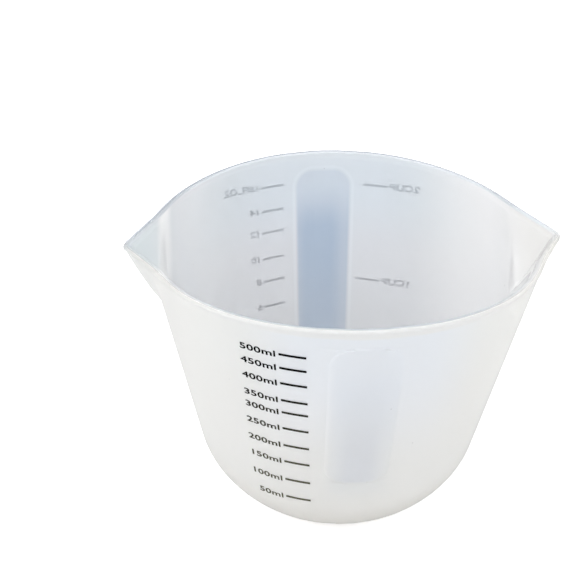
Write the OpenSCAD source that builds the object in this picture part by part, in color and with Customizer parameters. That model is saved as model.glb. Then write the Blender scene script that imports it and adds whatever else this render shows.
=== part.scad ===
// Two-spout mixing cup: one soft translucent moulding with printed volume lines.
// The spouts point along X, the millilitre scale faces -Y, and the foot stands on Z = 0.

/* [Cup] */
// Height of the rim above the table, midway between the spouts
cup_h = 96; // [80:1:120]
// Outer width of the mouth along X, where the wall would run on past the spouts
mouth_w = 120; // [100:1:126]
// Outer depth of the mouth along Y, from grip to grip
mouth_d = 114; // [96:1:130]
// Width along X at which the straight wall would meet the table
base_w = 77.5; // [64:0.5:90]
// Height at which the rounded bottom corner runs into the straight wall
corner_h = 26; // [18:1:33]
// Width along X of the flat foot
foot_w = 28; // [24:1:44]
// Thickness of the wall
wall = 2.4; // [1.6:0.1:3.4]
// Thickness of the floor
floor_t = 3.6; // [2.4:0.1:5]
// Radius on both edges of the rim
rim_round = 0.8; // [0.3:0.1:0.8]
// Drop of the rim from the middle of the cup to the spout tips
rim_dip = 3.5; // [0:0.5:6]

/* [Foot] */
// Width of the ring that the cup stands on
foot_ring = 3.5; // [2:0.5:8]
// Depth of the hollow inside the foot ring
foot_hollow = 1; // [0.4:0.1:1.6]

/* [Spouts] */
// Distance between the two spout tips
spout_span = 132; // [128:1:140]
// Half angle of each spout at the rim, seen from the middle of the cup
spout_half = 17; // [12:1:24]
// Radius of the spout tip at the rim
tip_r = 5; // [4:0.5:9]
// Distance from the rim down to where the spout runs out into the wall
spout_drop = 24; // [14:1:34]
// Shape of the keel under the spout: 1 is straight, less is fuller
keel_power = 0.82; // [0.6:0.02:1]
// Softness of the crease beside the spout, outside
crease_out = 1.0; // [0.4:0.2:3]
// Softness of the crease beside the spout, inside
crease_in = 0.6; // [0.4:0.2:3]

/* [Grips] */
// Width of a grip pad at its lower end
pad_low_w = 17.6; // [12:0.5:24]
// Width of a grip pad at its upper end
pad_top_w = 19.2; // [12:0.5:24]
// Distance from the rim to the upper end of the pad
pad_top_gap = 6.5; // [4:0.5:12]
// Length of the pad
pad_len = 54; // [30:1:58]
// Corner radius of the pad outline
pad_corner = 6; // [2:0.5:8]
// Height of the step round the pad, at the upper end
pad_step_top = 0.15; // [0.05:0.05:1]
// Height of the step round the pad, at the lower end
pad_step_low = 0.4; // [0.2:0.1:1]
// Run of the soft slope that leads up to the pad all round
pad_slope = 1.0; // [0.4:0.1:1.6]
// Crown of the pad above its step, at the upper end
pad_crown_top = 0.2; // [0:0.1:1]
// Crown of the pad above its step, at the lower end
pad_crown_low = 1.6; // [0.5:0.1:3]
// Length over which the crown sinks away at the lower end
pad_fade = 6; // [2:0.5:12]

/* [Scale lines] */
// Height of a printed line
line_h = 0.7; // [0.4:0.1:1.2]
// Thickness of the ink
ink_t = 0.15; // [0.1:0.05:0.3]
// Gap under the ink, which clears the facets of the wall
ink_gap = 0.02; // [0.01:0.01:0.1]
// Length of a millilitre line
ml_len = 7.6; // [4:0.2:12]
// Angle from the front middle to the near end of the millilitre lines
ml_angle = 16.4; // [14:0.2:30]
// Distance from the rim down to the 500 ml line
ml_top_gap = 10.4; // [8:0.1:20]
// Length of a fluid ounce line
oz_len = 8; // [4:0.2:12]
// Angle from the back middle to the near end of the 16 fl oz line
oz_angle = 14.6; // [12:0.2:30]
// Angle by which the 2 fl oz line starts further out than the 16 fl oz line
oz_lean = 3.4; // [0:0.2:6]
// Distance from the rim down to the 16 fl oz line
oz_top_gap = 10.8; // [8:0.1:20]
// Length of a cup line
cup_len = 8.6; // [4:0.2:12]
// Distance from the grip pad's slope to the 2 cup line
cup_gap_2 = 2.3; // [0.5:0.1:8]
// Distance from the grip pad's slope to the 1 cup line
cup_gap_1 = 0.8; // [0.5:0.1:8]
// Distance from the rim down to the 2 cup line
cup_top_gap = 11.5; // [8:0.1:20]
// Distance from the 2 cup line down to the 1 cup line
cup_step = 33; // [20:0.5:40]

/* [Hidden] */
// Steps down from each line to the next, uneven as they are printed
ml_steps = [5.1, 5.9, 6.7, 4.9, 6.6, 7.2, 7.1, 8, 8];
oz_steps = [8.1, 7.3, 9, 7.9, 8.9, 9.6, 10.4];
cup_gaps = [cup_gap_2, cup_gap_1];
ML = [500, 450, 400, 350, 300, 250, 200, 150, 100, 50];
OZ = [16, 14, 12, 10, 8, 6, 4, 2];
CUPS = [2, 1];

silicone = [0.92, 0.94, 0.96, 0.75];
ink = [0.12, 0.12, 0.13];

squash = mouth_d / mouth_w;
half_span = spout_span / 2;
keel_z = cup_h - spout_drop;
pad_z1 = cup_h - pad_top_gap;
pad_z0 = pad_z1 - pad_len;
// The floor inside is this much narrower than the foot
floor_inset = 1;

// Straight wall: half width along X at height z
function wall_r(z) = (base_w + (mouth_w - base_w) * z / cup_h) / 2;

// Elliptical corner: 0 at height a, 1 from height b up
function corner(z, a, b) = z >= b ? 1 : sqrt(1 - pow(1 - max(z - a, 0) / (b - a), 2));

// Outer and inner half width along X at height z, without spouts and pads
function out_r(z) = foot_w / 2 + (wall_r(z) - foot_w / 2) * corner(z, 0, corner_h);
floor_r = foot_w / 2 - floor_inset;
function in_r(z) = floor_r + (wall_r(z) - wall - floor_r) * corner(z, floor_t, corner_h);

// Smooth maximum of two radii, rounded over the softness k
function smax(a, b, k) =
    let (h = min(max(0.5 + (a - b) / (2 * k), 0), 1))
    b + (a - b) * h + k * h * (1 - h);

// Spout outline at the rim: straight sides that touch a round tip
tip_c = half_span - tip_r;
kink = mouth_w / 2 * [cos(spout_half), sin(spout_half)] - [tip_c, 0];
side_a = atan2(kink[1], kink[0]) - acos(tip_r / norm(kink));

// A spout's outline is only looked for within this angle of its axis
spout_reach = 60;

// Angle from the nearer spout axis, 0 to 90
function off_axis(a) = let (b = abs(a % 180)) min(b, 180 - b);

// Spout radius at angle a: the rim outline drawn in to the keel's foot as t goes from 1 to 0
function spout_r(a, t, inset) =
    let (
        root = wall_r(keel_z) - inset,
        c = root + t * (tip_c - root),
        r = t * (tip_r - inset),
        s = root * cos(side_a) * (1 - t) + t * (tip_c * cos(side_a) + tip_r - inset),
        arc_a = atan2(r * sin(side_a), c + r * cos(side_a))
    )
    a < arc_a ? c * cos(a) + sqrt(max(r * r - pow(c * sin(a), 2), 0)) : s / cos(min(a - side_a, 0));

// Part of the spout reached at nominal height z: 0 at the keel's foot, 1 at the rim
function spout_t(z) = pow(max(z - keel_z, 0) / spout_drop, keel_power);

// Rim height over angle a, lower towards the spouts
function rim_z(a) =
    let (b = off_axis(a), r = b < spout_reach ? max(mouth_w / 2, spout_r(b, 1, 0)) : mouth_w / 2)
    cup_h - rim_dip * pow(r * cos(b) / half_span, 2);

// Real height of the nominal height z at angle a
function real_z(a, z) = z <= keel_z ? z : keel_z + (z - keel_z) * (rim_z(a) - keel_z) / spout_drop;

// Half width with its spout at angle a and nominal height z
function with_spout(a, z, base, inset, soft) =
    let (b = off_axis(a), t = spout_t(z))
    t <= 0 || b > spout_reach ? base : smax(spout_r(b, t, inset), base, soft * t);

// Value at height z of something that runs straight from the pad's lower end to its upper end
function along_pad(z, low, top) = low + (top - low) * (z - pad_z0) / pad_len;

// Pad outline: half width at height z, drawn in at the rounded corners
function pad_half(z) = along_pad(z, pad_low_w, pad_top_w) / 2;
function pad_edge(z) =
    let (
        y = min(max(z, pad_z0), pad_z1),
        d = max(pad_z0 + pad_corner - y, y - (pad_z1 - pad_corner), 0)
    )
    pad_half(y) - pad_corner + sqrt(max(pad_corner * pad_corner - d * d, 0));

// Columns: spout columns stand at fixed angles, pad columns follow the pad outline,
// and evenly spaced columns fill the wall between them
spout_end = 21;
spout_steps = 10;
pad_side_a = 12.5;
pad_steps = 4;
gap_steps = 12;
SPOUT_ANGLES = [for (i = [-spout_steps:spout_steps]) spout_end * i / spout_steps];
PAD_STATIONS = [for (i = [-pad_steps:pad_steps]) i / pad_steps];
GAP = [for (i = [1:gap_steps - 1]) i / gap_steps];

// A column is [fixed angle, pad middle angle, station]; a station past 1 is just off the pad
function gap_cols(a, b) = [for (g = GAP) [a + (b - a) * g, 0, 0]];
function pad_cols(m) = [
    [m, m, -2],
    for (s = PAD_STATIONS) [m, m, s],
    [m, m, 2]
];
COLS = [
    for (s = SPOUT_ANGLES) [s, 0, 0],
    each gap_cols(spout_end, 90 - pad_side_a),
    each pad_cols(90),
    each gap_cols(90 + pad_side_a, 180 - spout_end),
    for (s = SPOUT_ANGLES) [180 + s, 0, 0],
    each gap_cols(180 + spout_end, 270 - pad_side_a),
    each pad_cols(270),
    each gap_cols(270 + pad_side_a, 360 - spout_end)
];

// Angle of a column at height z
function col_a(c, z) =
    c[1] == 0 ? c[0]
    : let (
        y = min(max(z, pad_z0), pad_z1),
        x = abs(c[2]) > 1 ? sign(c[2]) * (pad_edge(y) + pad_slope) : c[2] * pad_edge(y)
    )
    c[1] + asin(x / out_r(y));

// Crown of the pad on its middle line: it grows downwards and sinks away at the lower end
function pad_crown(z) =
    along_pad(z, pad_crown_low, pad_crown_top) * (1 - pow(max(1 - (z - pad_z0) / pad_fade, 0), 2));

// Pad thickness on a column at height z
function pad_t(c, z) =
    c[1] == 0 || abs(c[2]) > 1 || z < pad_z0 || z > pad_z1 ? 0
    : along_pad(z, pad_step_low, pad_step_top)
        + pad_crown(z) * (1 - pow(c[2] * pad_edge(z) / pad_half(z), 2));

function place(a, r, z) = [r * cos(a), squash * r * sin(a), z];

// One point of the outer wall, of the inner wall, and of the rim between them
function outer_r(a, z) = with_spout(a, z, out_r(real_z(a, z)), 0, crease_out);
function inner_r(a, z) = with_spout(a, z, in_r(real_z(a, z)), wall, crease_in);
function outer_pt(c, z) =
    let (a = col_a(c, z))
    place(a, outer_r(a, z) + pad_t(c, z), real_z(a, z));
function inner_pt(c, z) =
    let (a = col_a(c, cup_h))
    place(a, inner_r(a, z), real_z(a, z));
function rim_pt(c, side, inward, down) =
    let (
        a = col_a(c, cup_h),
        r = side == 0 ? outer_r(a, cup_h) - inward : inner_r(a, cup_h) + inward
    )
    place(a, r, rim_z(a) - down);

// Heights of the rows, from the foot up the outside and down the inside. Rows on a round
// corner stand closer together where the corner turns faster.
corner_steps = 6;
round_steps = 3;
wall_steps = 7;
spout_rows = 6;
corner_turn = 90 / corner_steps;
round_turn = 90 / round_steps;
straight_0 = pad_z0 + pad_corner;
straight_1 = pad_z1 - pad_corner;
OUT_ROWS = [
    for (i = [1:corner_steps]) (pad_z0 - pad_slope) * (1 - cos(i * corner_turn)),
    pad_z0,
    for (i = [1:round_steps]) pad_z0 + pad_corner * (1 - cos(i * round_turn)),
    for (i = [1:wall_steps]) straight_0 + (straight_1 - straight_0) * i / wall_steps,
    for (i = [1:round_steps]) straight_1 + pad_corner * sin(i * round_turn),
    pad_z1 + pad_slope,
    cup_h - (pad_top_gap - pad_slope + rim_round) / 2
];
IN_ROWS = [
    for (i = [1:spout_rows]) cup_h - rim_round - (spout_drop - rim_round) * i / spout_rows,
    (keel_z + corner_h) / 2,
    for (i = [corner_steps:-1:1]) floor_t + (corner_h - floor_t) * (1 - cos(i * corner_turn))
];
// Inward and downward shares of the rim radius on its two edges
EDGE = [[0, 1], [0.3, 0.3], [1, 0]];

foot_r = foot_w / 2;
hollow_r = foot_r - foot_ring;

// One soft moulding: floor, wall, rim, two spouts and two grip pads
module cup_body() {
    n = len(COLS);
    foot_rows = [
        for (p = [[hollow_r - foot_hollow, foot_hollow], [hollow_r, 0], [foot_r, 0]])
            [for (c = COLS) place(col_a(c, 0), p[0], p[1])]
    ];
    outer_rows = [for (z = OUT_ROWS) [for (c = COLS) outer_pt(c, z)]];
    rim_out = [for (e = EDGE) [for (c = COLS) rim_pt(c, 0, e[0] * rim_round, e[1] * rim_round)]];
    rim_in = [
        for (i = [2:-1:0])
            [for (c = COLS) rim_pt(c, 1, EDGE[i][0] * rim_round, EDGE[i][1] * rim_round)]
    ];
    inner_rows = [for (z = IN_ROWS) [for (c = COLS) inner_pt(c, z)]];
    floor_row = [for (c = COLS) place(col_a(c, cup_h), floor_r, floor_t)];
    rows = concat(foot_rows, outer_rows, rim_out, rim_in, inner_rows, [floor_row]);
    m = len(rows);
    under = [0, 0, foot_hollow];
    inside = [0, 0, floor_t];
    points = concat([for (r = rows) each r], [under, inside]);
    walls = [
        for (i = [0:m - 2], j = [0:n - 1])
            let (k = (j + 1) % n)
            each [
                [i * n + j, (i + 1) * n + j, (i + 1) * n + k],
                [i * n + j, (i + 1) * n + k, i * n + k]
            ]
    ];
    caps = [
        for (j = [0:n - 1])
            let (k = (j + 1) % n)
            each [[m * n, j, k], [m * n + 1, (m - 1) * n + k, (m - 1) * n + j]]
    ];
    color(silicone) polyhedron(points, concat(walls, caps), convexity = 6);
}

// A printed line: a thin strip on the wall at height z, from angle a over the length l
module printed_line(z, a, l, turn) {
    steps = 6;
    span = turn * l / out_r(z) * 180 / PI;
    z0 = z - line_h / 2;
    z1 = z + line_h / 2;
    rows = [
        for (i = [0:steps])
            let (b = a + span * i / steps)
            [
                place(b, out_r(z0) + ink_gap, z0),
                place(b, out_r(z0) + ink_gap + ink_t, z0),
                place(b, out_r(z1) + ink_gap + ink_t, z1),
                place(b, out_r(z1) + ink_gap, z1)
            ]
    ];
    quads = [
        for (i = [0:steps - 1], j = [0:3])
            let (k = (j + 1) % 4, p = i * 4, q = p + 4)
            each [[p + j, p + k, q + k], [p + j, q + k, q + j]]
    ];
    ends = [[3, 2, 1, 0], [for (j = [0:3]) steps * 4 + j]];
    faces = concat(quads, ends);
    flipped = [for (f = faces) [for (i = [len(f) - 1:-1:0]) f[i]]];
    color(ink) polyhedron([for (r = rows) each r], turn > 0 ? faces : flipped, convexity = 2);
}

// Distance from the first line of a scale down to line i
function fall(steps, i) = i == 0 ? 0 : steps[i - 1] + fall(steps, i - 1);

module ml_line(i) {
    printed_line(cup_h - ml_top_gap - fall(ml_steps, i), 270 - ml_angle, ml_len, -1);
}

module oz_line(i) {
    a = oz_angle + oz_lean * i / (len(OZ) - 1);
    printed_line(cup_h - oz_top_gap - fall(oz_steps, i), 90 + a, oz_len, 1);
}

module cup_line(i) {
    z = cup_h - cup_top_gap - cup_step * i;
    start = asin((pad_half(z) + pad_slope + cup_gaps[i]) / out_r(z));
    printed_line(z, 90 - start, cup_len, -1);
}

cup_body();
for (i = [0:len(ML) - 1]) {
    ml_line(i);
}
for (i = [0:len(OZ) - 1]) {
    oz_line(i);
}
for (i = [0:len(CUPS) - 1]) {
    cup_line(i);
}
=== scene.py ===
"""Looks of the two-spout mixing cup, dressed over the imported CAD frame.

The cup is a soft translucent moulding with printed volume scales. All sizes are in
millimetres until the last step of each mesh, which writes metres in the shared frame.
"""

from __future__ import annotations

import logging
import math
from dataclasses import dataclass, field
from enum import Enum
from typing import Any, Iterable, Mapping, Sequence, Union

import bpy
import numpy as np
from mathutils import Matrix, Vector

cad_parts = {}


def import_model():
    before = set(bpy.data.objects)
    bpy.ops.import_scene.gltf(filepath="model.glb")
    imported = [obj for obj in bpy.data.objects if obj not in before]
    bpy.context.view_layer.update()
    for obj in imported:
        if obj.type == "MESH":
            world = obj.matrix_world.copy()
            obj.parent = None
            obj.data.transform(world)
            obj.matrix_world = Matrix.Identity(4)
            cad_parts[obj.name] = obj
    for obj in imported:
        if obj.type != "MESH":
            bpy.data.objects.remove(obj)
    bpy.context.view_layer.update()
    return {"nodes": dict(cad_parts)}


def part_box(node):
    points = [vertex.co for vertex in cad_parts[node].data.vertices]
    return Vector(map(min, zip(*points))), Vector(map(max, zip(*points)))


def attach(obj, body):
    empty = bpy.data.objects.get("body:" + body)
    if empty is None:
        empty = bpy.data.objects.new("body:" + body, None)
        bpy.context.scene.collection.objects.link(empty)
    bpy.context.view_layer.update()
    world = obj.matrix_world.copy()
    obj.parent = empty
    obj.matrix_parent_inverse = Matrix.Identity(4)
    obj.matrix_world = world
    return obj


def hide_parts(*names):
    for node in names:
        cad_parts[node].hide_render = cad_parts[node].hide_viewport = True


LOG = logging.getLogger("mixing_cup")
MM = 0.001
# Height that the camera and the lamps aim at, in millimetres.
AIM_H = 50.0
# Stands for the distance from a pad's middle line where a column isn't on a pad.
FAR = 999.0
# Angle from a spout's axis, in degrees, past which the cup has no spout.
SPOUT_ARC = 60.0
WHITE = (1.0, 1.0, 1.0)
# Sockets of a Mix node that mixes colours.
MIX_SHARE, MIX_FIRST, MIX_SECOND, MIX_RESULT = 0, 6, 7, 2
# What the three scales count.
MILLILITRE_LINES = range(50, 501, 50)
OUNCE_LINES = range(2, 17, 2)
CUP_LINES = (1, 2)

Value = Union["Sock", float, int, Sequence[float]]
Colour = tuple[float, float, float]
Array = np.ndarray
Material = bpy.types.Material
Object = bpy.types.Object


class Align(Enum):
    """Which end of a label stands at its line."""

    ENDS_AT_LINE = "RIGHT"
    STARTS_AT_LINE = "LEFT"


# Shader graphs


@dataclass(frozen=True)
class Sock:
    """An output socket whose arithmetic adds Math nodes to its graph."""

    graph: "Graph"
    out: bpy.types.NodeSocket

    def __add__(self, other: Value) -> "Sock":
        """Returns self + other."""
        return self.graph.math("ADD", self, other)

    def __sub__(self, other: Value) -> "Sock":
        """Returns self - other."""
        return self.graph.math("SUBTRACT", self, other)

    def __rsub__(self, other: Value) -> "Sock":
        """Returns other - self."""
        return self.graph.math("SUBTRACT", other, self)

    def __mul__(self, other: Value) -> "Sock":
        """Returns self * other."""
        return self.graph.math("MULTIPLY", self, other)

    def __truediv__(self, other: Value) -> "Sock":
        """Returns self / other."""
        return self.graph.math("DIVIDE", self, other)

    def __pow__(self, other: Value) -> "Sock":
        """Returns self to the power other."""
        return self.graph.math("POWER", self, other)

    def __abs__(self) -> "Sock":
        """Returns the size of self."""
        return self.graph.math("ABSOLUTE", self)

    def sign(self) -> "Sock":
        """Returns 1 or -1, as self is above or below 0."""
        return self.graph.math("SIGN", self)

    def above(self, low: float) -> "Sock":
        """Returns self, but at least low."""
        return self.graph.math("MAXIMUM", self, low)

    def clamped(self) -> "Sock":
        """Returns self, held to 0..1."""
        return self.graph.math("MINIMUM", self.above(0.0), 1.0)


@dataclass(frozen=True)
class Fade:
    """A smooth step along one measure, from low at start to high at end."""

    start: float
    end: float
    low: float = 0.0
    high: float = 1.0

    def of(self, value: Sock) -> Sock:
        """Steps along a value.

        Args:
            value: What is stepped.

        Returns:
            The step.
        """
        made = value.graph.node(
            "ShaderNodeMapRange",
            {
                "Value": value,
                "From Min": self.start,
                "From Max": self.end,
                "To Min": self.low,
                "To Max": self.high,
            },
            interpolation_type="SMOOTHSTEP",
        )
        return value.graph.sock(made)


class Graph:
    """The node tree of one material or world."""

    def __init__(self, owner: Material | bpy.types.World) -> None:
        """Starts from an empty tree.

        Args:
            owner: The material or world.
        """
        self.owner = owner
        owner.use_nodes = True
        self.tree = owner.node_tree
        self.tree.nodes.clear()

    def node(
        self, kind: str, inputs: Mapping[Any, Value] | None = None, **settings: str
    ) -> bpy.types.Node:
        """Adds a node, sets it, then fills its inputs.

        Args:
            kind: The node's type name.
            inputs: Values or links by socket name or index.
            settings: Properties that are set first.

        Returns:
            The node.
        """
        made = self.tree.nodes.new(kind)
        for key, value in settings.items():
            setattr(made, key, value)
        for key, value in (inputs or {}).items():
            self._fill(made.inputs[key], value)
        return made

    def _fill(self, socket: bpy.types.NodeSocket, value: Value) -> None:
        """Links or sets one input.

        Args:
            socket: The input.
            value: A socket, a number, or the numbers of a colour or vector.
        """
        if isinstance(value, Sock):
            self.tree.links.new(value.out, socket)
        elif isinstance(value, (int, float)):
            socket.default_value = value
        else:
            numbers = tuple(value)
            room = len(socket.default_value)
            socket.default_value = numbers + (1.0,) * (room - len(numbers))

    def sock(self, node: bpy.types.Node, output: int | str = 0) -> Sock:
        """Wraps a node's output, given by its name or index."""
        return Sock(self, node.outputs[output])

    def math(self, operation: str, *values: Value) -> Sock:
        """Adds a Math node over its operands and returns the result."""
        return self.sock(self.node("ShaderNodeMath", dict(enumerate(values)), operation=operation))

    def blend(self, share: Value, first: Value, second: Value) -> Sock:
        """Mixes two colours, where share is the second one's share."""
        inputs = {MIX_SHARE: share, MIX_FIRST: first, MIX_SECOND: second}
        return self.sock(self.node("ShaderNodeMix", inputs, data_type="RGBA"), MIX_RESULT)

    def place(self) -> tuple[Sock, Sock, Sock, Sock]:
        """Reads the object coordinates, in metres.

        Returns:
            The vector and its X, Y and Z.
        """
        where = self.sock(self.node("ShaderNodeTexCoord"), "Object")
        split = self.node("ShaderNodeSeparateXYZ", {0: where})
        return (where, *(self.sock(split, i) for i in range(3)))

    def seen(self) -> Sock:
        """Tells whether the camera looks at it, straight or through the silicone.

        Returns:
            1 if so, 0 for the rays that only light the cup.
        """
        path = self.node("ShaderNodeLightPath")
        straight, through = (self.sock(path, f"Is {ray} Ray") for ray in ("Camera", "Transmission"))
        return self.math("MAXIMUM", straight, through)

    def noise(self, where: Sock, scale: float, detail: float) -> Sock:
        """Spreads a noise from 0 to 1, where scale is its waves per metre."""
        inputs = {"Vector": where, "Scale": scale, "Detail": detail}
        return self.sock(self.node("ShaderNodeTexNoise", inputs), "Fac")

    def specks(self, where: Sock, scale: float, size: float) -> Sock:
        """Scatters round specks: 1 near the middle of half of the cells, 0 elsewhere.

        Args:
            where: The coordinates.
            scale: Cells per metre.
            size: Radius of a speck, as a share of a cell.

        Returns:
            The specks.
        """
        cells = self.node("ShaderNodeTexVoronoi", {"Vector": where, "Scale": scale}, feature="F1")
        lot = self.node("ShaderNodeSeparateColor", {0: self.sock(cells, "Color")})
        chosen = Fade(0.5, 0.52).of(self.sock(lot))
        return chosen * Fade(size, size / 2).of(self.sock(cells, "Distance"))

    def bump(self, height: Value, strength: float, distance: float) -> Sock:
        """Turns a height into a normal, where distance is the height of 1, in metres."""
        inputs = {"Height": height, "Strength": strength, "Distance": distance}
        return self.sock(self.node("ShaderNodeBump", inputs))

    def surface(self, inputs: Mapping[str, Value]) -> Material:
        """Ends a material with a Principled shader.

        Args:
            inputs: The shader's inputs by name.

        Returns:
            The material.
        """
        shader = self.node("ShaderNodeBsdfPrincipled", inputs)
        self.node("ShaderNodeOutputMaterial", {"Surface": self.sock(shader)})
        return self.owner


def srgb(red: float, green: float, blue: float) -> Colour:
    """Turns an 8-bit display colour into a linear one.

    Each channel c is divided by 255 and becomes ((c + 0.055) / 1.055) ** 2.4.

    Args:
        red: Red, 0 to 255.
        green: Green, 0 to 255.
        blue: Blue, 0 to 255.

    Returns:
        The linear colour.
    """
    linear = ((np.array([red, green, blue]) / 255 + 0.055) / 1.055) ** 2.4
    return tuple(float(c) for c in linear)


# Finishes


@dataclass(frozen=True)
class Spot:
    """A point of the cup's surface, as its shader sees it.

    x, y and height are in millimetres, and inner is 1 on the inner face and 0 on the outer.
    """

    shape: CupShape
    x: Sock
    y: Sock
    height: Sock
    inner: Sock

    @property
    def graph(self) -> Graph:
        """The material's graph."""
        return self.x.graph

    def off_pad(self, across: Sock, height: Sock, low_end: bool) -> Sock:
        """Measures the distance to a pad's outline: a tapered box with round corners.

        With u and v as the distances past the box that is smaller by the corner radius, and
        0 inside it, the distance is the root of u squared plus v squared, less that radius.

        Args:
            across: Distances from the pad's middle line, in millimetres.
            height: Heights in millimetres.
            low_end: Whether the outline has a lower end.

        Returns:
            The distance in millimetres, below 0 on the pad.
        """
        shape = self.shape
        taper = (shape.pad_top_w - shape.pad_low_w) / 2 / shape.pad_len
        half = (height - shape.pad_z0) * taper + shape.pad_low_w / 2
        u = (across - half + shape.pad_corner).above(0.0)
        v = (height - (shape.pad_z1 - shape.pad_corner)).above(0.0)
        if low_end:
            v = v + (shape.pad_z0 + shape.pad_corner - height).above(0.0)
        return (u * u + v * v) ** 0.5 - shape.pad_corner


@dataclass(frozen=True)
class SkinTones:
    """The outer face, with painted light and shade.

    It is warm at the foot and cool up the middle of the front and back, as painted light that comes
    through the silicone, with a painted shade where it stands. It is light at the brim, with
    painted shade where a pad is thickest and on the left spout.
    """

    plain: Colour = srgb(250, 249, 245)
    # The foot and cool tones paint the light that comes through the silicone: warmer low down and
    # towards the edges, cooler up the middle.
    foot: Colour = srgb(240, 237, 230)
    foot_end: Fade = Fade(4, 34)
    # A painted shade along the foot, where the cup stands on the floor.
    seat: Colour = srgb(196, 186, 172)
    seat_end: Fade = Fade(0.6, 4)
    cool: Colour = srgb(248, 250, 253)
    cool_side: Fade = Fade(36, 16)
    cool_rise: Fade = Fade(36, 80)
    brim: Colour = srgb(249, 248, 245)
    brim_start: Fade = Fade(92.8, 93.8)
    # A painted shade where a pad is thickest and lets less light through.
    core: Colour = srgb(239, 239, 240)
    core_edge: Fade = Fade(0.6, -1.6)
    core_side: Fade = Fade(9, 2, 0.12, 1)
    core_rise: Fade = Fade(84, 44, 0.1, 1)
    # A painted shade on the outer face of the left spout.
    spout: Colour = srgb(240, 239, 236)
    spout_start: Fade = Fade(-44, -60)

    def over(self, at: Spot) -> Sock:
        """Colours the outer face.

        Args:
            at: The spot.

        Returns:
            The colour.
        """
        g, across, height = at.graph, abs(at.x), at.height
        # Painted light through the silicone: warm at the foot.
        made = g.blend(self.foot_end.of(height), self.foot, self.plain)
        # Painted shade where the cup stands.
        made = g.blend(self.seat_end.of(height), self.seat, made)
        # Painted light through the silicone: cool up the middle.
        made = g.blend(self.cool_side.of(across) * self.cool_rise.of(height), made, self.cool)
        made = g.blend(self.brim_start.of(height), made, self.brim)
        # Painted shade over the thickest part of a pad.
        on_pad = self.core_edge.of(at.off_pad(across, height, True))
        core = on_pad * self.core_side.of(across) * self.core_rise.of(height)
        made = g.blend(core, made, self.core)
        # Painted shade on the left spout.
        return g.blend(self.spout_start.of(at.x), made, self.spout)


@dataclass(frozen=True)
class BowlTones:
    """The inner face, with the pad behind it showing through.

    sides holds painted light, tones laid one over the other along X: the right side lit brighter
    than the left, then the left spout greyer and the right spout lighter. The ridges are painted
    highlights along the creases at the roots of the spouts. The pad shows a little aside of where
    it is, by shift.
    """

    low: Colour = srgb(215, 217, 222)
    top: Colour = srgb(211, 218, 225)
    top_start: Fade = Fade(62, 84)
    # Painted light along X: the right side lighter than the left, the left spout greyer than the
    # right.
    sides: tuple[tuple[Fade, Colour], ...] = (
        (Fade(26, 52), srgb(238, 238, 240)),
        (Fade(-30, -52), srgb(227, 229, 233)),
        (Fade(-50, -60), srgb(215, 223, 227)),
        (Fade(50, 60), srgb(229, 228, 227)),
    )
    # A painted highlight along the crease at each spout's root, strong on the left, faint on the
    # right and gone near its rim.
    ridge: Colour = srgb(255, 255, 255)
    ridge_x: float = 54.0
    ridge_side: Fade = Fade(2.6, 0.5)
    ridge_rise: Fade = Fade(66, 74)
    ridge_left: float = 0.85
    ridge_right: Fade = Fade(86, 79, 0, 0.3)
    left: Fade = Fade(10, -10)
    shift: float = 0.9
    raised: float = 1.0
    pad_start: Fade = Fade(26, 32)
    # A painted highlight round the outline of the pad behind the inner face.
    halo: Colour = srgb(232, 238, 246)
    halo_out: float = 0.6
    halo_side: Fade = Fade(0.8, 0.1, 0, 0.2)
    shadow: Colour = srgb(165, 182, 203)
    shadow_edge: Fade = Fade(0.3, -1.1)
    shadow_least: float = 0.32
    deep_x: float = -1.4
    deep_side: Fade = Fade(9.5, 3.5, 0.4, 0.7)
    deep_top: Fade = Fade(87, 69)
    deep_rise: Fade = Fade(40, 66, 0.8, 1)

    def over(self, at: Spot) -> Sock:
        """Colours the inner face.

        Args:
            at: The spot.

        Returns:
            The colour.
        """
        g, x, height = at.graph, at.x, at.height
        made = g.blend(self.top_start.of(height), self.low, self.top)
        # Lays the painted light and shade of the sides and spouts.
        for fade, tone in self.sides:
            made = g.blend(fade.of(x), made, tone)
        # Painted highlight along the creases at the spouts' roots.
        ridge = self.ridge_side.of(abs(abs(x) - self.ridge_x)) * self.ridge_rise.of(height)
        left = self.left.of(x)
        strength = left * self.ridge_left + (1 - left) * self.ridge_right.of(height)
        made = g.blend(ridge * strength, made, self.ridge)
        aside = x + at.y.sign() * self.shift
        off = at.off_pad(abs(aside), height - self.raised, False)
        near = self.pad_start.of(height)
        # Painted highlight round the pad's outline.
        made = g.blend(self.halo_side.of(abs(off - self.halo_out)) * near, made, self.halo)
        deep = self.deep_side.of(abs(aside - self.deep_x)) * self.deep_top.of(height)
        share = deep * self.deep_rise.of(height) + self.shadow_least
        return g.blend(self.shadow_edge.of(off) * near * share, made, self.shadow)


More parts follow.
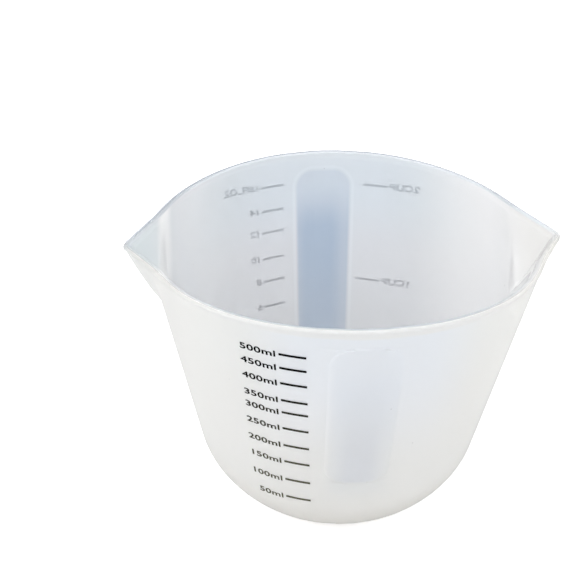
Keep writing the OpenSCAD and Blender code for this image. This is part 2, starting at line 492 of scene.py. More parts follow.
@dataclass(frozen=True)
class RimTones:
    """The rim: a painted grey shade over its top on the far half, and a painted dark line of shade
    that fades to the sides.

    On the far half the line runs along the outer edge, and faintly on the near half's inner one.
    """

    # The grey top and the dark edge line are painted shade, strongest on the far half.
    top: Colour = srgb(212, 217, 224)
    top_depth: Fade = Fade(0.7, 0.3)
    edge: Colour = srgb(160, 168, 180)
    far_half: Fade = Fade(-8, 8)
    outer: Fade = Fade(1, 0.5)
    inner: Fade = Fade(0.6, 0.9, 0, 0.05)
    fade_side: Fade = Fade(18, 44, 1, 0.45)
    fade_right: Fade = Fade(34, 52, 0, 0.3)

    def over(self, at: Spot, made: Sock) -> Sock:
        """Lays the rim's tones over a colour.

        The rim falls with the square of X towards the spouts, so the distance below it is the
        rim's height at that X less the height.

        Args:
            at: The spot.
            made: The colour so far.

        Returns:
            The colour.
        """
        g, shape = at.graph, at.shape
        fall = shape.rim_dip / (shape.spout_span / 2) ** 2
        top = self.top_depth.of(shape.cup_h - at.x * at.x * fall - at.height)
        far = self.far_half.of(at.y)
        line = self.outer.of(at.inner) * far + self.inner.of(at.inner) * (1 - far)
        share = self.fade_side.of(abs(at.x)) - self.fade_right.of(at.x)
        # Paints the shade: the grey top on the far half, then the dark line along the rim's edge.
        made = g.blend(top * far, made, self.top)
        return g.blend(top * line * share, made, self.edge)


@dataclass(frozen=True)
class SiliconeFinish:
    """Milky translucent silicone: pale and neutral outside, cooler inside and where thick.

    The specks, the haze in its gloss and the grain are given by their waves per metre.
    """

    skin: SkinTones = SkinTones()
    bowl: BowlTones = BowlTones()
    rim: RimTones = RimTones()
    speck: Colour = srgb(150, 150, 150)
    speck_share: float = 0.5
    speck_waves: float = 110
    speck_r: float = 0.03
    rough_outside: float = 0.3
    rough_inside: float = 0.12
    haze: float = 0.08
    haze_waves: float = 70
    grain: float = 0.05
    grain_waves: float = 900
    grain_h: float = 0.0002
    transmission: float = 0.45
    ior: float = 1.41
    gloss: float = 0.25

    def build(self, shape: CupShape) -> Material:
        """Makes the material.

        Args:
            shape: The cup's form, for the rim and the outline of the pads.

        Returns:
            The material.
        """
        g = Graph(bpy.data.materials.new("silicone"))
        where, x, y, z = g.place()
        inner = g.sock(g.node("ShaderNodeAttribute", attribute_name="inside"), "Fac")
        at = Spot(shape, x / MM, y / MM, z / MM, inner)
        colour = self.rim.over(at, g.blend(inner, self.skin.over(at), self.bowl.over(at)))
        specks = g.specks(where, self.speck_waves, self.speck_r)
        haze = g.noise(where, self.haze_waves, detail=3) - 0.5
        grain = g.noise(where, self.grain_waves, detail=2)
        rough = inner * (self.rough_inside - self.rough_outside) + self.rough_outside
        return g.surface(
            {
                "Base Color": g.blend(specks * self.speck_share, colour, self.speck),
                "Roughness": rough + haze * self.haze,
                "IOR": self.ior,
                "Transmission Weight": self.transmission,
                "Specular IOR Level": self.gloss,
                "Normal": g.bump(grain, self.grain, self.grain_h),
            }
        )


@dataclass(frozen=True)
class InkFinish:
    """Dark print that thins to an olive grey towards the foot.

    wear is the share of the worn tone by the height in metres, and patchy how much it varies.
    """

    full: Colour = srgb(3, 3, 4)
    worn: Colour = srgb(108, 106, 90)
    wear: Fade = Fade(0.085, 0.015, 0, 0.8)
    patchy: float = 0.25
    patch_waves: float = 1400
    roughness: float = 0.9
    gloss: float = 0.05

    def build(self) -> Material:
        """Makes the material.

        Returns:
            The material.
        """
        g = Graph(bpy.data.materials.new("ink"))
        where, _, _, height = g.place()
        patches = g.noise(where, self.patch_waves, detail=2) - 0.5
        wear = (self.wear.of(height) + patches * self.patchy).clamped()
        return g.surface(
            {
                "Base Color": g.blend(wear, self.full, self.worn),
                "Roughness": self.roughness,
                "Specular IOR Level": self.gloss,
            }
        )


@dataclass(frozen=True)
class SweepFinish:
    """Plain pale floor that shows as white and keeps a soft shadow."""

    colour: Colour = (0.9, 0.9, 0.9)
    glow: float = 0.55
    roughness: float = 0.9
    gloss: float = 0.1

    def build(self) -> Material:
        """Makes the material.

        Returns:
            The material.
        """
        g = Graph(bpy.data.materials.new("sweep"))
        return g.surface(
            {
                "Base Color": self.colour,
                "Roughness": self.roughness,
                "Specular IOR Level": self.gloss,
                "Emission Color": WHITE,
                "Emission Strength": g.seen() * self.glow,
            }
        )


# Shape


@dataclass(frozen=True)
class CupShape:
    """The cup's form, from the same sizes and formulas as the solid part.

    Angles are in degrees, lengths in millimetres. A radius is a half width along X;
    the half width along Y is that radius times squash.
    """

    cup_h: float = 96
    mouth_w: float = 120
    mouth_d: float = 114
    base_w: float = 77.5
    corner_h: float = 26
    foot_w: float = 28
    wall: float = 2.4
    floor_t: float = 3.6
    floor_gap: float = 1.0
    rim_round: float = 0.8
    rim_dip: float = 3.5
    foot_ring: float = 3.5
    foot_hollow: float = 1.0
    spout_span: float = 132
    spout_half: float = 17
    tip_r: float = 5
    spout_drop: float = 24
    keel_power: float = 0.82
    crease_out: float = 1.0
    crease_in: float = 0.6
    crease_least: float = 1e-6
    pad_low_w: float = 17.6
    pad_top_w: float = 19.2
    pad_top_gap: float = 6.5
    pad_len: float = 54
    pad_corner: float = 6
    pad_step_top: float = 0.15
    pad_step_low: float = 0.4
    pad_crown_top: float = 0.2
    pad_crown_low: float = 1.6
    pad_fade: float = 6
    pad_slope: float = 1.0

    @property
    def squash(self) -> float:
        """Depth of the mouth over its width."""
        return self.mouth_d / self.mouth_w

    @property
    def keel_z(self) -> float:
        """Height of the keel's foot."""
        return self.cup_h - self.spout_drop

    @property
    def pad_z1(self) -> float:
        """Height of the pad's upper end."""
        return self.cup_h - self.pad_top_gap

    @property
    def pad_z0(self) -> float:
        """Height of the pad's lower end."""
        return self.pad_z1 - self.pad_len

    @property
    def floor_r(self) -> float:
        """Half width of the flat floor inside."""
        return self.foot_w / 2 - self.floor_gap

    @property
    def tip_c(self) -> float:
        """Distance from the axis to the centre of the spout's tip."""
        return self.spout_span / 2 - self.tip_r

    @property
    def side_a(self) -> float:
        """Direction of the normal of a spout's straight side, in radians."""
        half = math.radians(self.spout_half)
        kink = np.array([math.cos(half), math.sin(half)]) * self.mouth_w / 2
        kink[0] -= self.tip_c
        return math.atan2(kink[1], kink[0]) - math.acos(self.tip_r / np.hypot(*kink))

    def wall_r(self, z: Array) -> Array:
        """Radius of the straight wall: a line from the base to the mouth."""
        return (self.base_w + (self.mouth_w - self.base_w) * z / self.cup_h) / 2

    @staticmethod
    def corner(z: Array, start: float, end: float) -> Array:
        """A quarter ellipse over the heights: 0 at start, and 1 from end up."""
        share = np.clip((z - start) / (end - start), 0, 1)
        return np.sqrt(1 - (1 - share) ** 2)

    def out_r(self, z: Array) -> Array:
        """Outer radius without spouts and pads: the wall, drawn in by the corner."""
        foot = self.foot_w / 2
        return foot + (self.wall_r(z) - foot) * self.corner(z, 0, self.corner_h)

    def in_r(self, z: Array) -> Array:
        """Inner radius without spouts: the wall less its thickness, drawn in by the corner."""
        rise = self.wall_r(z) - self.wall - self.floor_r
        return self.floor_r + rise * self.corner(z, self.floor_t, self.corner_h)

    @staticmethod
    def off_axis(a: Array) -> Array:
        """Angle from the nearer spout's axis, up to a quarter turn, in radians."""
        turned = np.abs((a + 90) % 180 - 90)
        return np.radians(turned)

    def spout_r(self, b: Array, t: Array, inset: float) -> Array:
        """Radius of the spout: straight sides that touch a round tip, drawn in as t falls.

        Args:
            b: Angles from the spout's axis, in radians.
            t: Share of the spout, 0 at the keel's foot and 1 at the rim.
            inset: Distance inside the outer face.

        Returns:
            Radii.
        """
        side = self.side_a
        root = float(self.wall_r(np.array(self.keel_z))) - inset
        c = root + t * (self.tip_c - root)
        r = t * (self.tip_r - inset)
        s = root * math.cos(side) * (1 - t) + t * (
            self.tip_c * math.cos(side) + self.tip_r - inset
        )
        arc = np.arctan2(r * math.sin(side), c + r * math.cos(side))
        tip = c * np.cos(b) + np.sqrt(np.maximum(r**2 - (c * np.sin(b)) ** 2, 0))
        return np.where(b < arc, tip, s / np.cos(np.minimum(b - side, 0)))

    def rim_z(self, a: Array) -> Array:
        """Height of the rim, which falls with the square of X towards the spouts.

        Args:
            a: Angles.

        Returns:
            Heights.
        """
        b = self.off_axis(a)
        reach = np.where(b < math.radians(SPOUT_ARC), self.spout_r(b, np.ones_like(b), 0), 0)
        r = np.maximum(reach, self.mouth_w / 2)
        return self.cup_h - self.rim_dip * (r * np.cos(b) / (self.spout_span / 2)) ** 2

    def real_z(self, a: Array, z: Array) -> Array:
        """Real height of a nominal one: above the keel it is pressed under the rim."""
        pressed = self.keel_z + (z - self.keel_z) * (self.rim_z(a) - self.keel_z) / self.spout_drop
        return np.where(z <= self.keel_z, z, pressed)

    def radius(self, a: Array, z: Array, inside: bool) -> Array:
        """Radius of the outer or inner face with its spout, blended over a soft crease.

        The blend is the polynomial smooth maximum
        b + (a - b) h + k h (1 - h), with h = 0.5 + (a - b) / 2k held to 0..1.

        Args:
            a: Angles.
            z: Nominal heights.
            inside: True for the inner face.

        Returns:
            Radii.
        """
        inset, soft = (self.wall, self.crease_in) if inside else (0.0, self.crease_out)
        base = (self.in_r if inside else self.out_r)(self.real_z(a, z))
        b = self.off_axis(a)
        t = (np.maximum(z - self.keel_z, 0) / self.spout_drop) ** self.keel_power
        reach = self.spout_r(b, t, inset)
        k = np.maximum(soft * t, self.crease_least)
        h = np.clip(0.5 + (reach - base) / (2 * k), 0, 1)
        blended = base + (reach - base) * h + k * h * (1 - h)
        return np.where((t > 0) & (b < math.radians(SPOUT_ARC)), blended, base)

    def along_pad(self, z: Array, low: float, top: float) -> Array:
        """A straight run over the heights, from low at the pad's foot to top at its head."""
        return low + (top - low) * (z - self.pad_z0) / self.pad_len

    def pad_half(self, z: Array) -> Array:
        """Half width of a grip pad, which tapers from its head to its foot."""
        return self.along_pad(z, self.pad_low_w, self.pad_top_w) / 2

    def pad_edge(self, z: Array) -> Array:
        """Half width of the pad's outline with its corners rounded.

        Args:
            z: Heights.

        Returns:
            Half widths.
        """
        y = np.clip(z, self.pad_z0, self.pad_z1)
        into = np.maximum(self.pad_z0 + self.pad_corner - y, y - self.pad_z1 + self.pad_corner)
        into = np.maximum(into, 0)
        round_off = np.sqrt(np.maximum(self.pad_corner**2 - into**2, 0))
        return self.pad_half(y) - self.pad_corner + round_off

    def pad_t(self, x: Array, z: Array) -> Array:
        """Thickness of the pad: a step and a crown, rounded off round its outline.

        The crown grows downwards and sinks away as 1 - s squared over the lower end, where s
        falls from 1 at the end to 0 a fade above it.

        Args:
            x: Distances from the pad's middle line.
            z: Heights.

        Returns:
            Thicknesses.
        """
        step = self.along_pad(z, self.pad_step_low, self.pad_step_top)
        sink = np.clip(1 - (z - self.pad_z0) / self.pad_fade, 0, 1)
        crown = self.along_pad(z, self.pad_crown_low, self.pad_crown_top) * (1 - sink**2)
        full = step + crown * (1 - (x / self.pad_half(z)) ** 2)
        over_x = np.abs(x) - self.pad_edge(z)
        over_z = np.maximum(self.pad_z0 - z, z - self.pad_z1)
        over = np.maximum(over_x, over_z) / self.pad_slope
        fade = np.clip(1 - over, 0, 1)
        return np.maximum(full, 0) * fade * fade * (3 - 2 * fade)


def linked(name: str, data: bpy.types.ID) -> Object:
    """Makes an object in the scene.

    Args:
        name: Its name.
        data: Its mesh, text, lamp or camera.

    Returns:
        The object.
    """
    made = bpy.data.objects.new(name, data)
    bpy.context.scene.collection.objects.link(made)
    return made


@dataclass
class MeshRows:
    """Rows of points that close round the cup, turned into one mesh.

    inside holds 1 for each point of the inner face and 0 for the others. Faces that meet at
    more than sharp_deg keep a hard edge.
    """

    shape: CupShape
    points: list[Array] = field(default_factory=list)
    inside: list[Array] = field(default_factory=list)
    sharp_deg: float = 50.0

    def add(self, a: Array, r: Array, z: Array, inside: float) -> None:
        """Adds a row.

        Args:
            a: Angles in degrees.
            r: Radii.
            z: Heights.
            inside: 1 for the inner face, 0 for the outer one.
        """
        rad = np.radians(a)
        row = np.stack([r * np.cos(rad), self.shape.squash * r * np.sin(rad), z + 0 * a], 1)
        self.points.append(row)
        self.inside.append(np.full(len(a), inside))

    def build(self, name: str, under_z: float, floor_z: float) -> Object:
        """Makes the object: quads between rows and a fan at each end.

        Args:
            name: The object's name.
            under_z: Height of the middle of the underside.
            floor_z: Height of the middle of the floor.

        Returns:
            The object.
        """
        rows, n = len(self.points), len(self.points[0])
        co = np.concatenate([*self.points, [[0, 0, under_z], [0, 0, floor_z]]]) * MM
        i, j = np.meshgrid(np.arange(rows - 1), np.arange(n), indexing="ij")
        k = (j + 1) % n
        here, above = i * n, (i + 1) * n
        quads = np.stack([here + j, here + k, above + k, above + j], 2).reshape(-1, 4)
        one, two = np.arange(n), (np.arange(n) + 1) % n
        last = (rows - 1) * n
        lower = np.stack([np.full(n, rows * n), two, one], 1)
        upper = np.stack([np.full(n, rows * n + 1), last + one, last + two], 1)
        mesh = bpy.data.meshes.new(name)
        mesh.from_pydata(co.tolist(), [], quads.tolist() + lower.tolist() + upper.tolist())
        mesh.update()
        layer = mesh.attributes.new("inside", "FLOAT", "POINT")
        share = np.concatenate([*self.inside, (0.0, 1.0)]).astype(np.float32)
        layer.data.foreach_set("value", share)
        mesh.shade_smooth()
        mesh.set_sharp_from_angle(angle=math.radians(self.sharp_deg))
        return linked(name, mesh)


@dataclass
class CupBody:
    """The silicone moulding as one smooth shell.

    spout_end and pad_side are the angles, in degrees, that spouts and pads take on each side
    of their middle. The cols count points round the cup and the rows count rings up it, both
    ends of a stretch included. under gives the rows below the foot by their distance inside
    the foot ring and their share of its hollow, and seat the last rows of the floor by their
    share of its radius.
    """

    shape: CupShape
    silicone: Material
    spout_end: float = 42.0
    pad_side: float = 12.5
    spout_cols: int = 71
    gap_cols: int = 34
    pad_cols: int = 25
    slope_cols: int = 5
    ring_rows: int = 5
    corner_rows: int = 32
    join_rows: int = 5
    slope_rows: int = 7
    round_rows: int = 9
    pad_rows: int = 26
    top_rows: int = 9
    rim_rows: int = 7
    spout_rows: int = 30
    wall_rows: int = 30
    bowl_rows: int = 26
    under: tuple[tuple[float, float], ...] = ((4, 1), (1, 1), (0.3, 0.7), (0, 0))
    seat: tuple[float, ...] = (0.85, 0.6, 0.3)

    @staticmethod
    def ease(count: int) -> Array:
        """Spaces so many shares from 0 to 1 as a quarter circle does, dense at 0."""
        return 1 - np.cos(np.linspace(0, math.pi / 2, count))

    def columns(self) -> tuple[Array, Array, Array]:
        """Lays out the columns: fixed on spouts and gaps, along the outline on pads.

        Returns:
            Fixed angles, pad middle angles (0 where fixed) and stations on the pad.
        """
        slope = np.linspace(0, 1, self.slope_cols)[1:]
        stations = np.concatenate([-1 - slope[::-1], np.linspace(-1, 1, self.pad_cols), 1 + slope])
        spout = np.linspace(-self.spout_end, self.spout_end, self.spout_cols)
        gap = np.linspace(0, 1, self.gap_cols + 2)[1:-1] * (90 - self.pad_side - self.spout_end)
        fixed, middle, station = [], [], []
        for turn in (0, 180):
            pad = turn + 90
            for angles, centre, on_pad in (
                (turn + spout, 0, 0),
                (turn + self.spout_end + gap, 0, 0),
                (0 * stations + pad, pad, stations),
                (pad + self.pad_side + gap, 0, 0),
            ):
                fixed.append(angles)
                middle.append(0 * angles + centre)
                station.append(0 * angles + on_pad)
        return tuple(np.concatenate(part) for part in (fixed, middle, station))

    def angles(self, z: float) -> tuple[Array, Array]:
        """Angles of all columns at a height.

        Args:
            z: The nominal height.

        Returns:
            Angles, and distances from the pad's middle line (FAR where there is no pad).
        """
        s = self.shape
        fixed, middle, station = self.columns()
        y = np.clip(z, s.pad_z0, s.pad_z1)
        edge = float(s.pad_edge(np.array(y)))
        over = np.maximum(np.abs(station) - 1, 0) * s.pad_slope
        x = np.clip(station, -1, 1) * edge + np.sign(station) * over
        swing = np.degrees(np.arcsin(x / float(s.out_r(np.array(y)))))
        on_pad = middle > 0
        return np.where(on_pad, middle + swing, fixed), np.where(on_pad, x, FAR)

    def outer_rows(self) -> Array:
        """Lists the nominal heights of the outer rows, dense in the corner and at pad ends.

        Returns:
            Heights.
        """
        s = self.shape
        corner = s.corner_h * self.ease(self.corner_rows)[1:]
        turn = s.pad_corner * self.ease(self.round_rows)
        slope = s.pad_slope * np.linspace(0, 1, self.slope_rows)[1:]
        low = s.pad_z0 + np.concatenate([-slope[::-1], turn])
        high = s.pad_z1 - np.concatenate([turn[::-1], -slope])
        between = np.linspace(low[-1], high[0], self.pad_rows)[1:-1]
        join = np.linspace(s.corner_h, low[0], self.join_rows)[1:-1]
        top = np.linspace(high[-1], s.cup_h - s.rim_round, self.top_rows)[1:-1]
        return np.concatenate([corner, join, low, between, high, top])

    def add_rim(self, rows: MeshRows) -> None:
        """Adds the rim: two quarter rounds with the flat between them.

        Args:
            rows: Where the rows go.
        """
        s = self.shape
        a, _ = self.angles(s.cup_h)
        top = np.full_like(a, s.cup_h)
        rim = s.rim_z(a)
        turns = np.linspace(0, math.pi / 2, self.rim_rows)
        for inside, away, run in ((False, -1, turns), (True, 1, turns[::-1])):
            face = s.radius(a, top, inside)
            for turn in run:
                across, down = s.rim_round * (1 - np.cos(turn)), s.rim_round * (1 - np.sin(turn))
                rows.add(a, face + away * across, rim - down, float(inside))

    def build(self) -> Object:
        """Makes the shell from the foot, up the outside, over the rim and down the inside.

        Returns:
            The object.
        """
        s = self.shape
        rows = MeshRows(s)
        a, _ = self.angles(0.0)
        none = np.zeros_like(a)
        foot, hollow = s.foot_w / 2, s.foot_w / 2 - s.foot_ring
        for inward, share in self.under:
            rows.add(a, none + hollow - inward, none + share * s.foot_hollow, 0.0)
        for r in np.linspace(hollow, foot, self.ring_rows)[1:]:
            rows.add(a, none + r, none, 0.0)
        for z in self.outer_rows():
            a, x = self.angles(z)
            zz = np.full_like(a, z)
            pad = s.pad_t(x, zz) * (x < FAR)
            rows.add(a, s.radius(a, zz, False) + pad, s.real_z(a, zz), 0.0)
        self.add_rim(rows)
        a, _ = self.angles(s.cup_h)
        spout = np.linspace(s.cup_h - s.rim_round, s.keel_z, self.spout_rows)[1:]
        wall = np.linspace(s.keel_z, s.corner_h, self.wall_rows)[1:-1]
        corner = s.floor_t + (s.corner_h - s.floor_t) * self.ease(self.bowl_rows)[::-1]
        for z in np.concatenate([spout, wall, corner]):
            zz = np.full_like(a, z)
            rows.add(a, s.radius(a, zz, True), s.real_z(a, zz), 1.0)
        for share in self.seat:
            rows.add(a, none + s.floor_r * share, none + s.floor_t, 1.0)
        made = rows.build("cup_shell", s.foot_hollow, s.floor_t)
        made.data.materials.append(self.silicone)
        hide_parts("cup_body")
        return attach(made, "root")


# Print


@dataclass(frozen=True)
class Lettering:
    """Sizes of the printed characters.

    cap_share is a capital's height in the font's units, and spacing its distance to the next.
    """

    cap_h: float = 2.12
    cap_share: float = 0.7
    spacing: float = 1.04
    curve_steps: int = 4
    gap: float = 0.7
    thick: float = 0.06
    lift: float = 0.03


@dataclass(frozen=True)
class Scale:
    """How one scale is lettered.

    stretch is the width of its characters over their natural width, narrowing how much of
    that goes from the mouth to the table, drop how far they hang below their line, rise how
    much they climb for each unit away from it, and bold how much thicker each side of a
    stroke is, in the font's units.
    """

    align: Align
    stretch: float
    narrowing: float
    drop: float
    rise: float
    bold: float

    def stretch_at(self, share: float) -> float:
        """Stretch at a share of the cup's height."""
        return self.stretch - self.narrowing * (1 - share)


MILLILITRES = Scale(Align.ENDS_AT_LINE, 1.43, 0.12, 0.15, 0.0, 0.018)
OUNCES = Scale(Align.STARTS_AT_LINE, 1.26, 0.0, -0.3, 0.07, 0.042)
CUPS = Scale(Align.ENDS_AT_LINE, 1.44, 0.0, -0.15, 0.07, 0.042)


@dataclass(frozen=True)
class Label:
    """One printed value beside its line."""

    node: str
    text: str
    scale: Scale


@dataclass(frozen=True)
class PrintedScales:
    """The characters beside the printed lines, wrapped on the wall."""

    shape: CupShape
    ink: Material
    letters: Lettering = Lettering()

    @staticmethod
    def labels() -> list[Label]:
        """Lists the labels of the three scales. Only the highest ounce line names its unit.

        Returns:
            The labels.
        """
        made = [Label(f"line_{v}_ml", f"{v}ml", MILLILITRES) for v in MILLILITRE_LINES]
        for v in OUNCE_LINES:
            text = f"{v}FL.OZ" if v == OUNCE_LINES[-1] else str(v)
            made.append(Label(f"line_{v}_fl_oz", text, OUNCES))
        made += [Label(f"line_{v}_cup", f"{v}CUP", CUPS) for v in CUP_LINES]
        return made

    def flat(self, label: Label) -> Object:
        """Makes the characters flat and one unit thick, in the font's units.

        Args:
            label: The label.

        Returns:
            A mesh object.
        """
        curve = bpy.data.curves.new(f"text_{label.node}", "FONT")
        curve.body = label.text
        curve.align_x = label.scale.align.value
        curve.resolution_u = self.letters.curve_steps
        curve.extrude = 0.5
        curve.space_character = self.letters.spacing
        drawn = linked(curve.name, curve)
        graph = bpy.context.evaluated_depsgraph_get()
        mesh = bpy.data.meshes.new_from_object(drawn.evaluated_get(graph))
        mesh.name = label.node.replace("line_", "print_")
        bpy.data.objects.remove(drawn)
        return linked(mesh.name, mesh)

    @staticmethod
    def outward(mesh: bpy.types.Mesh, co: Array) -> Array:
        """Finds the direction that makes each stroke of flat characters thicker.

        On the front faces, an edge with no opposite twin lies on the outline, and the
        outline's normal there is the edge turned a quarter clockwise. A point moves along
        the sum of its two normals n and m over 1 + n . m, which keeps both edges parallel.

        Args:
            mesh: The characters, extruded along Z.
            co: Their points.

        Returns:
            Moves along X and Y, for a stroke one unit thicker on each side.
        """
        start = np.empty(len(mesh.polygons), np.int64)
        total = np.empty_like(start)
        corner = np.empty(len(mesh.loops), np.int64)
        mesh.polygons.foreach_get("loop_start", start)
        mesh.polygons.foreach_get("loop_total", total)
        mesh.loops.foreach_get("vertex_index", corner)
        _, same = np.unique(np.round(co[:, :2], 5), axis=0, return_inverse=True)
        same = same.ravel()
        face = np.repeat(np.arange(len(start)), total)
        place = np.arange(len(corner))
        after = np.where(place + 1 < start[face] + total[face], place + 1, start[face])
        top = np.minimum.reduceat(co[corner, 2], start) > 0
        tail, head = same[corner[top[face]]], same[corner[after[top[face]]]]
        count = int(same.max()) + 1
        keep = ~np.isin(tail * count + head, head * count + tail) & (tail != head)
        tail, head = tail[keep], head[keep]
        spot = np.zeros((count, 2))
        spot[same] = co[:, :2]
        run = spot[head] - spot[tail]
        normal = np.stack([run[:, 1], -run[:, 0]], 1) / np.linalg.norm(run, axis=1)[:, None]
        total_normal = np.zeros((count, 2))
        np.add.at(total_normal, tail, normal)
        np.add.at(total_normal, head, normal)
        size = np.maximum((total_normal**2).sum(1), 1.0)
        return (total_normal * (2 / size)[:, None])[same]

    def wrap(self, label: Label, ahead: Array) -> Object:
        """Bends a label round the wall at its line.

        A point u along the text and v up it goes to angle a + u / r and height z + v.

        Args:
            label: The label.
            ahead: Angle and height of the line's end, in degrees and millimetres.

        Returns:
            The object.
        """
        made = self.flat(label)
        mesh = made.data
        co = np.empty(len(mesh.vertices) * 3, np.float32)
        mesh.vertices.foreach_get("co", co)
        co = co.reshape(-1, 3).astype(float)
        co[:, :2] += self.outward(mesh, co) * label.scale.bold
        cap = self.letters.cap_share
        unit = self.letters.cap_h / cap
        u = co[:, 0] * unit * label.scale.stretch_at(ahead[1] / self.shape.cup_h)
        v = (co[:, 1] - cap / 2) * unit - label.scale.drop + label.scale.rise * np.abs(u)
        ends = label.scale.align is Align.ENDS_AT_LINE
        gap = -self.letters.gap if ends else self.letters.gap
        z = ahead[1] + v
        r = self.shape.out_r(z)
        a = np.radians(ahead[0]) + (u + gap) / float(self.shape.out_r(np.array(ahead[1])))
        w = self.letters.lift + (co[:, 2] + 0.5) * self.letters.thick
        bent = np.stack([(r + w) * np.cos(a), self.shape.squash * (r + w) * np.sin(a), z], 1)
        mesh.vertices.foreach_set("co", (bent * MM).astype(np.float32).ravel())
        mesh.update()
        mesh.materials.clear()
        mesh.materials.append(self.ink)
        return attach(made, "root")

    def line_end(self, label: Label) -> Array:
        """Finds the end of a line that faces its label, from the line's box.

        Args:
            label: The label.

        Returns:
            Angle in degrees and height in millimetres.
        """
        low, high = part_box(label.node)
        z = (low.z + high.z) / 2 / MM
        front = low.y < 0
        x = low.x if front or label.scale.align is Align.STARTS_AT_LINE else high.x
        r = float(self.shape.out_r(np.array(z)))
        a = math.degrees(math.acos(max(-1.0, min(1.0, x / MM / r))))
        return np.array([-a if front else a, z])

    def build(self) -> list[Object]:
        """Makes every label."""
        return [self.wrap(label, self.line_end(label)) for label in self.labels()]


# Studio


def stood(axes: Sequence[Array], place: Array) -> Matrix:
    """Makes a world matrix.

    Args:
        axes: The directions of X, Y and Z.
        place: The origin, in metres.

    Returns:
        The matrix.
    """
    made = np.eye(4)
    made[:3, :3] = np.stack(axes, 1)
    made[:3, 3] = place
    return Matrix(made.tolist())


@dataclass(frozen=True)
class PhotoCamera:
    """The photograph's camera, as fitted to the cup's outline.

    The camera looks down by the elevation at a point on the cup's axis, then pans, tilts and
    rolls by small angles. The cup stands unturned, so the camera goes round it by the yaw.
    Angles are in degrees, the distance and the sensor in millimetres, and the focal length
    and the picture's width in pixels.
    """

    elevation: float = 33.998
    distance: float = 384.834
    focal: float = 1207.968
    pan: float = -2.294
    tilt: float = 2.864
    roll: float = 2.565
    yaw: float = 7.989
    picture: int = 588
    sensor: float = 36.0
    clip_start: float = 0.01

    @staticmethod
    def swung(one: Array, other: Array, angle: float) -> tuple[Array, Array]:
        """Turns two square directions in their plane, the first towards the other."""
        c, s = math.cos(math.radians(angle)), math.sin(math.radians(angle))
        return c * one + s * other, c * other - s * one

    def matrix(self) -> Matrix:
        """Works out the camera's place.

        Returns:
            The world matrix.
        """
        e, y = math.radians(self.elevation), math.radians(-self.yaw)
        right = np.array([1.0, 0, 0])
        up = np.array([0, math.sin(e), math.cos(e)])
        ahead = np.array([0, math.cos(e), -math.sin(e)])
        centre = -self.distance * ahead + [0, 0, AIM_H]
        ahead, right = self.swung(ahead, right, self.pan)
        ahead, up = self.swung(ahead, up, self.tilt)
        right, up = self.swung(right, up, self.roll)
        c, s = math.cos(y), math.sin(y)
        turn = np.array([[c, -s, 0], [s, c, 0], [0, 0, 1]])
        return stood((turn @ right, turn @ up, -(turn @ ahead)), turn @ centre * MM)

    def build(self) -> None:
        """Makes the camera."""
        data = bpy.data.cameras.new("photo_camera")
        data.sensor_fit = "HORIZONTAL"
        data.sensor_width = self.sensor
        data.lens = self.sensor * self.focal / self.picture
        data.clip_start = self.clip_start
        made = linked("photo_camera", data)
        made.matrix_world = self.matrix()
        bpy.context.scene.camera = made


@dataclass(frozen=True)
class Softbox:
    """One round area lamp aimed at the cup.

    Angles are in degrees, the azimuth from the front, lengths in metres and power in watts.
    """

    name: str
    azimuth: float
    elevation: float
    distance: float
    size: float
    power: float

    def build(self) -> None:
        """Makes the lamp."""
        data = bpy.data.lights.new(self.name, "AREA")
        data.shape = "DISK"
        data.size = self.size
        data.energy = self.power
        made = linked(self.name, data)
        a, e = math.radians(self.azimuth - 90), math.radians(self.elevation)
        away = np.array([math.cos(e) * math.cos(a), math.cos(e) * math.sin(a), math.sin(e)])
        side = np.cross([0, 0, 1.0], away)
        side /= np.linalg.norm(side)
        place = away * self.distance + [0, 0, AIM_H * MM]
        made.matrix_world = stood((side, np.cross(away, side), away), place)


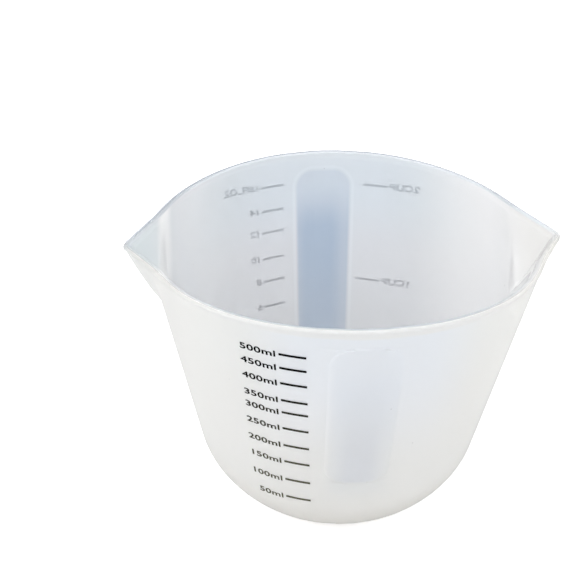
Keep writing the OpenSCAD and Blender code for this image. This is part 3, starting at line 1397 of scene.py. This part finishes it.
@dataclass
class Studio:
    """Pale floor, even world light and soft lamps, in metres.

    The floor lies just under the cup's foot, by under.
    """

    floor: SweepFinish = SweepFinish()
    reach: float = 3.0
    under: float = 0.0002
    world_colour: Colour = (0.985, 0.992, 1.0)
    world_light: float = 0.72
    boxes: tuple[Softbox, ...] = (
        Softbox("key", -62, 42, 1.2, 0.8, 5.4),
        Softbox("fill", 50, 35, 1.4, 1.0, 4.7),
        Softbox("top", 0, 88, 1.1, 0.8, 3.6),
    )

    def build_floor(self) -> None:
        """Makes the floor."""
        r = self.reach
        mesh = bpy.data.meshes.new("floor")
        corners = [(-r, -r, 0), (r, -r, 0), (r, r, 0), (-r, r, 0)]
        mesh.from_pydata(corners, [], [(0, 1, 2, 3)])
        made = linked("floor", mesh)
        made.location.z = -self.under
        made.data.materials.append(self.floor.build())

    def build_world(self) -> None:
        """Lights the object evenly, and shows the camera a plain white behind it."""
        world = bpy.data.worlds.new("studio")
        bpy.context.scene.world = world
        g = Graph(world)
        light, white = (
            g.sock(g.node("ShaderNodeBackground", {"Color": colour, "Strength": strength}))
            for colour, strength in ((self.world_colour, self.world_light), (WHITE, 1.0))
        )
        mix = g.node("ShaderNodeMixShader", {"Fac": g.seen(), 1: light, 2: white})
        g.node("ShaderNodeOutputWorld", {"Surface": g.sock(mix)})

    def build(self) -> None:
        """Makes the whole studio."""
        self.build_floor()
        self.build_world()
        for box in self.boxes:
            box.build()


def dress_nodes(nodes: Mapping[str, Object], silicone: Material, ink: Material) -> None:
    """Gives every printed line its ink, and the moulding its silicone.

    Args:
        nodes: The CAD nodes by name.
        silicone: The silicone.
        ink: The ink.
    """
    for name, node in nodes.items():
        node.data.materials.clear()
        node.data.materials.append(silicone if name == "cup_body" else ink)


def report(pieces: Iterable[Object]) -> None:
    """Logs the name of each piece and how many points it has."""
    for piece in pieces:
        LOG.info("%s: %d points", piece.name, len(piece.data.vertices))


def main() -> None:
    logging.basicConfig(level=logging.INFO, format="%(name)s: %(message)s")
    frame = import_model()
    bpy.context.scene.view_settings.view_transform = "Standard"
    shape = CupShape()
    silicone, ink = SiliconeFinish().build(shape), InkFinish().build()
    dress_nodes(frame["nodes"], silicone, ink)
    report(frame["nodes"].values())
    report([CupBody(shape, silicone).build()])
    report(PrintedScales(shape, ink).build())
    Studio().build()
    PhotoCamera().build()
    bpy.context.view_layer.update()


if __name__ == "__main__":
    main()
